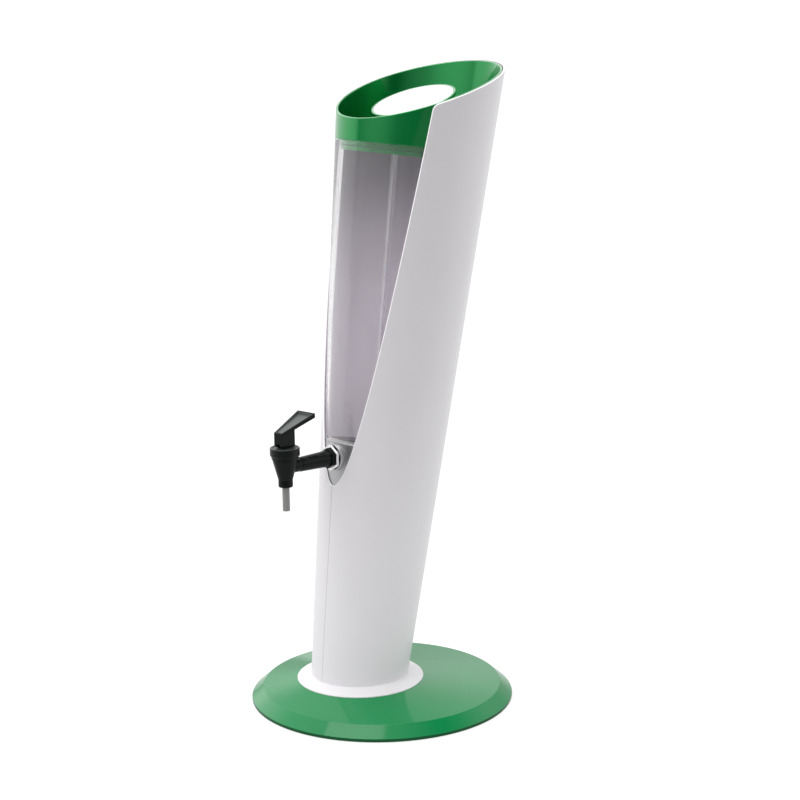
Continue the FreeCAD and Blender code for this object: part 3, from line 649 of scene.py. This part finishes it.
NUT_Y = -57.6
sh = Shell()
sh.prism_hex(12.9, 3.0, forwards(NUT_Y), 8.3, (1.1, 0.9), (0.7, 0.5))
sh.finish("hex_nut", "canister", CHROME, ("chrome_nut",), "chrome_plate", sharp=24)

FL_Y = NUT_Y - 3.0
sh = Shell()
sh.lathe([(0, 236.0), (3.55, 236.0, 0.3), (6.95, 236.0, 1.1), (6.95, 243.2, 2.0), (12.2, 262.6, 0.5), (12.2, 263.3), (11.3, 263.3),
          (11.3, 268.4, 0.3), (9.9, 268.4), (9.9, 262.0), (6.2, 247.0), (0, 247.0)], VALVE, 96)
sh.lathe([(4.4, 0), (8.2, 0, 0.8), (8.2, -FL_Y - 36.0), (7.95, -FL_Y - 36.0), (7.9, 29.5, 1.0), (7.0, 60.6, 0.5), (6.55, 61.2, 0.2), (6.55, 71.0),
          (4.4, 71.0)], forwards(-36.0), 96)
sh.prism_hex(10.4, 3.2, forwards(FL_Y), 7.5, (0.8, 0.8), (0.1, 0.1))
sh.finish("tap_valve_body", "canister", BLACK, ("tap_body",), "tap_plastic", sharp=34)

sh = Shell()
sh.lathe([(2.58, 268.5), (11.4, 268.5), (11.4, 263.5), (12.9, 263.5, 0.4), (12.9, 266.1, 0.3), (14.2, 266.8, 0.6), (14.2, 274.3, 0.9),
          (11.5, 274.3, 0.4), (11.4, 273.3), (2.58, 273.3, 0.2)], VALVE, 96)
ob = sh.finish("tap_bonnet_ring", "canister", BONNET, ("tap_bonnet",), "tap_plastic")
ob.data.materials.append(BONNET_TOP_HIGHLIGHT)
# the bonnet's upward top faces get the lighter grey: painted highlight
for f in ob.data.polygons:
    if f.normal.z > 0.75 and f.center.z > 0.2735:
        f.material_index = 1

sh = Shell()
sh.lathe([(2.3, 212.6, 0.25), (3.5, 212.6, 0.35), (3.5, 246.8), (2.3, 246.8)], VALVE, 64)
sh.finish("spout_tube", "canister", OUTLET, ("outlet_tube",), "outlet_silicone")

# spring: the CAD coil, cleaned of doubled points and given a mesh of its own
bm = bmesh.new()
bm.from_mesh(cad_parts["valve_spring"].data)
bmesh.ops.remove_doubles(bm, verts=bm.verts, dist=2e-6)
me = bpy.data.meshes.new("spring_coil")
bm.to_mesh(me)
bm.free()
spring = dress(me, "spring_coil", "stem", STEEL, ("valve_spring",), weighted=False)
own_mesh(spring)

# lever: the CAD lever's own faces, cleaned up and given rounded edges
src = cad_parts["tap_lever"]
bm = bmesh.new()
bm.from_mesh(src.data)
bmesh.ops.remove_doubles(bm, verts=bm.verts, dist=2e-6)
bmesh.ops.dissolve_limit(bm, angle_limit=math.radians(1.0), verts=bm.verts, edges=bm.edges)
me = bpy.data.meshes.new("lever_paddle")
bm.to_mesh(me)
bm.free()
lever = dress(me, "lever_paddle", "lever", BLACK, ("tap_lever",), sharp=60, weighted=False)
# the sunk tray of the paddle is left matt and a lighter grey: painted sheen of the light from above
me.materials.append(TRAY_PAINTED_SHEEN)
for f in me.polygons:
    inside = True
    for i in f.vertices:
        v = Vector(me.vertices[i].co) / MM
        a = math.radians(-10.0)
        dx, dy = v.x, v.y + 113.4
        x, fw = dx * math.cos(a) - dy * math.sin(a), -(dx * math.sin(a) + dy * math.cos(a))
        t = (9.1 - fw) / 40.4
        top = 289.2 + 13.6 * t
        if abs(x) > 4.9 + 6.2 * t - 1.3 or fw > 7.3 or fw < -29.3 or v.z < top - 3.0 or v.z > top + 0.2:
            inside = False
    if inside:
        f.material_index = 1
bv = lever.modifiers.new("round", 'BEVEL')
bv.width = 0.00034
bv.segments = 3
bv.limit_method = 'ANGLE'
bv.angle_limit = math.radians(28)
bv.harden_normals = False
w = lever.modifiers.new("weighted", 'WEIGHTED_NORMAL')
w.keep_sharp = True
w.weight = 60

# ---------------------------------------------------------------------------
# Lid collar
# ---------------------------------------------------------------------------
C_IN, SK_OUT = OFF_OUT - 2.4, OFF_TIN - 0.35
sh = Shell()
loops = []
NSEG = 224
for i in range(NSEG):
    th = 2 * math.pi * i / NSEG
    so, si = station_at_rim(th, OFF_OUT), station_at_rim(th, C_IN)
    d = E1 * math.cos(th) + E2 * math.sin(th)
    ax = lambda s: A0 + AX * s
    loops.append(rounded([
        (cone(th, 508.5, SK_OUT), 0.5), (cone(th, 518.0, SK_OUT), 0.1), (cone(th, 518.0, OFF_OUT), 0.45),
        (cone(th, so, OFF_OUT), 0.75), (cone(th, si, C_IN), 0.75), (cone(th, 522.0, C_IN), 3.5),
        (ax(522.0) + d * 20.6, 0.4), (ax(519.5) + d * 20.6, 0.3), (cone(th, 519.5, SK_OUT - 2.0), 0.6),
        (cone(th, 508.5, SK_OUT - 2.0), 0.5)], 5))
sh.loops(loops)
sh.finish("collar_green", "lid", GREEN, ("lid_collar",), "green_plastic")

# ---------------------------------------------------------------------------
# Ice tube and knob
# ---------------------------------------------------------------------------
sh = Shell()
sh.lathe([(0, 262.0), (12.4, 262.0, 7.0), (19.6, 520.0), (19.6, 522.4), (24.0, 522.4, 0.5), (24.0, 524.4, 0.5), (15.8, 524.4, 0.3),
          (15.8, 520.0), (8.6, 265.8, 5.2), (0, 265.8)], TOWER, 360, n=8)
ob = sh.finish("ice_tube_clear", "ice", CLEAR_ICE_GRAZING_SHEEN, ("ice_tube",), "clear_plastic", weighted=False)
let_light_through(ob)
ob.data.materials.append(CLEAR)
for f in ob.data.polygons:      # the bore stays clear, only the outer skin gets the painted sheen where it is seen along the wall
    c = Vector(f.center) / MM - A0
    if Vector(f.normal).dot(c - AX * c.dot(AX)) < 0:
        f.material_index = 1

sh = Shell()
sh.lathe([(0, -5.6), (39.6, -5.6, 1.6), (41.8, -3.2, 1.8), (41.8, 0, 0.8), (39.7, 0, 0.2), (39.7, -1.6), (0, -1.6)], KNOB, 128)
lp = []
for i in range(96):
    a = 2 * math.pi * i / 96
    d = E1 * math.cos(a) + E2 * math.sin(a)

    def under(r, nrm=KNOB.to_3x3() @ Vector((0, 0, 1)), d=d):
        """Point of the stalk's line that meets the head's underside."""
        base = A0 + d * r
        top = DISC_C - nrm * 5.0
        t = (top - base).dot(nrm) / AX.dot(nrm)
        return base + AX * t

    lp.append(rounded([
        (A0 + AX * 512.5, 0), (A0 + AX * 512.5 + d * 14.9, 0.5), (A0 + AX * 524.45 + d * 15.4, 0), (A0 + AX * 524.45 + d * 25.5, 0.8),
        (A0 + AX * 540.0 + d * 23.0, 12.0), (under(26.0), 0), (under(0.0), 0)], 6))
sh.loops(lp)
sh.finish("knob_green", "knob", GREEN, ("ice_cap",), "green_plastic")

sh = Shell()
sh.lathe([(0, -1.6), (39.6, -1.6, 0.1), (39.6, 0.0, 0.45), (0, 0.0)], KNOB, 128)
sh.finish("knob_disc", "knob", DISC, ("cap_disc",), "disc_plastic")

# ---------------------------------------------------------------------------
# Floor, light, camera
# ---------------------------------------------------------------------------
fm = bpy.data.meshes.new("floor")
fb = bmesh.new()
ring0 = [fb.verts.new((40.0 * math.cos(2 * math.pi * i / 64), 40.0 * math.sin(2 * math.pi * i / 64), 0.0)) for i in range(64)]
fb.faces.new(ring0)
fb.to_mesh(fm)
fb.free()
floor = bpy.data.objects.new("floor", fm)
bpy.context.scene.collection.objects.link(floor)
FLOOR = material("floor_pale", (0.30, 0.30, 0.30), 0.9, spread=0.003, bump=0.0, rough_spread=0.02, spec=0.0)
ft = FLOOR.node_tree
fp = [n for n in ft.nodes if n.type == 'BSDF_PRINCIPLED'][0]
fp.inputs["Emission Color"].default_value = (1, 1, 1, 1)
floor.data.materials.append(FLOOR)

world = bpy.data.worlds.new("studio")
bpy.context.scene.world = world
world.use_nodes = True
nt = world.node_tree
nt.nodes.clear()
CAM_SIDE = (0.772, -0.635, 0.0)
LEFT_SIDE = (-0.635, -0.772, 0.0)


def node(kind, **kw):
    n = nt.nodes.new(kind)
    for k, v in kw.items():
        setattr(n, k, v)
    return n


def direct_view():
    """1 for what is seen straight on or through clear plastic, 0 for light that falls on the object."""
    lp = node("ShaderNodeLightPath")
    return math_node('LESS_THAN', math_node('SUBTRACT', lp.outputs["Ray Depth"], lp.outputs["Transmission Depth"]), 0.5)


def switch(f, a, b):
    n = node("ShaderNodeMix", data_type='FLOAT')
    nt.links.new(f, n.inputs["Factor"])
    for k, v in (("A", a), ("B", b)):
        if isinstance(v, (int, float)):
            n.inputs[k].default_value = v
        else:
            nt.links.new(v, n.inputs[k])
    return n.outputs["Result"]


def math_node(op, a, b=None):
    n = node("ShaderNodeMath", operation=op)
    for i, v in enumerate((a, b)):
        if v is None:
            continue
        if isinstance(v, (int, float)):
            n.inputs[i].default_value = v
        else:
            nt.links.new(v, n.inputs[i])
    return n.outputs[0]


def smooth(v, a, b, lo, hi):
    n = node("ShaderNodeMapRange", interpolation_type='SMOOTHSTEP')
    nt.links.new(v, n.inputs["Value"])
    n.inputs["From Min"].default_value = a
    n.inputs["From Max"].default_value = b
    n.inputs["To Min"].default_value = lo
    n.inputs["To Max"].default_value = hi
    return n.outputs[0]


def along(v, axis):
    n = node("ShaderNodeVectorMath", operation='DOT_PRODUCT')
    nt.links.new(v, n.inputs[0])
    n.inputs[1].default_value = axis
    return n.outputs["Value"]


# broad soft panels round the object, a dark room on the camera's side
tc = node("ShaderNodeTexCoord")
dirv = tc.outputs["Generated"]
glow = None



def around(az, el):
    az, el = math.radians(az), math.radians(el)
    return (Vector(CAM_SIDE).normalized() * math.cos(az) - Vector(LEFT_SIDE).normalized() * math.sin(az)) * math.cos(el) + Vector((0, 0, math.sin(el)))


for az, el, strength in PANELS:
    panel = smooth(along(dirv, around(az, el)), 0.64, 1.0, 0.0, strength)
    glow = panel if glow is None else math_node('ADD', glow, panel)
sheet = math_node('MULTIPLY', smooth(along(dirv, around(SHEET_EDGE - 90, 0)), -0.008, 0.012, 0.0, 1.0),
                  smooth(along(dirv, around(*SHEET[:2])), SHEET[2], SHEET[3], 0.0, SHEET[4]))
glow = math_node('ADD', glow, sheet)
back = around(190, 2)
glow = math_node('ADD', glow, smooth(along(dirv, back), 0.78, 0.95, 0.0, BACKDROP))
seen = math_node('MAXIMUM', direct_view(), node("ShaderNodeLightPath").outputs["Is Camera Ray"])
bg = node("ShaderNodeBackground")
bg.inputs["Color"].default_value = (1, 1, 1, 1)
nt.links.new(switch(seen, glow, 1.05), bg.inputs["Strength"])
wo = node("ShaderNodeOutputWorld")
nt.links.new(bg.outputs[0], wo.inputs[0])

nt = ft
ftc = node("ShaderNodeTexCoord")
bright = smooth(along(ftc.outputs["Object"], CAM_SIDE), 0.35, 0.95, FLOOR_NEAR, FLOOR_FAR)
bright = math_node('ADD', bright, smooth(along(ftc.outputs["Object"], CAM_SIDE), -0.8, -1.6, 0.0, 0.12))
nt.links.new(switch(direct_view(), bright, 0.80), fp.inputs["Emission Strength"])


def area(name, loc, target, size, radiance, color=(1, 1, 1)):
    ld = bpy.data.lights.new(name, 'AREA')
    ld.shape = 'RECTANGLE'
    ld.size, ld.size_y = size
    ld.energy = radiance * math.pi * size[0] * size[1]
    ld.color = color
    ob = bpy.data.objects.new(name, ld)
    bpy.context.scene.collection.objects.link(ob)
    ob.location = loc
    ob.rotation_euler = (Vector(target) - Vector(loc)).to_track_quat('-Z', 'Y').to_euler()
    return ob


# softbox above
area("softbox_top", (-0.086, -0.50, 2.1), (-0.086, -0.499, 0.0), (1.1, 1.5), SOFT)

cam_pos = Vector((1493.08, -1227.92, 732.30))
tgt = Vector((0, 0, 301.8654))
f0 = (tgt - cam_pos).normalized()
fwd = (Matrix.Rotation(math.radians(-0.6576), 3, 'Z') @ f0).normalized()
right = fwd.cross(Vector((0, 0, 1))).normalized()
up = right.cross(fwd).normalized()
roll = math.radians(-0.859)
r2 = right * math.cos(roll) + up * math.sin(roll)
u2 = -right * math.sin(roll) + up * math.cos(roll)
cd = bpy.data.cameras.new("camera")
cd.sensor_fit = 'HORIZONTAL'
cd.sensor_width = 36.0
cd.lens = 2038.631 * 36.0 / 800.0
cd.clip_start = 0.05
cd.clip_end = 60.0
cam = bpy.data.objects.new("camera", cd)
bpy.context.scene.collection.objects.link(cam)
m = Matrix.Identity(4)
for i in range(3):
    m[i][0], m[i][1], m[i][2], m[i][3] = r2[i], u2[i], -fwd[i], cam_pos[i] * MM
cam.matrix_world = m
bpy.context.scene.camera = cam
bpy.context.scene.view_settings.view_transform = 'Standard'

bpy.context.view_layer.update()
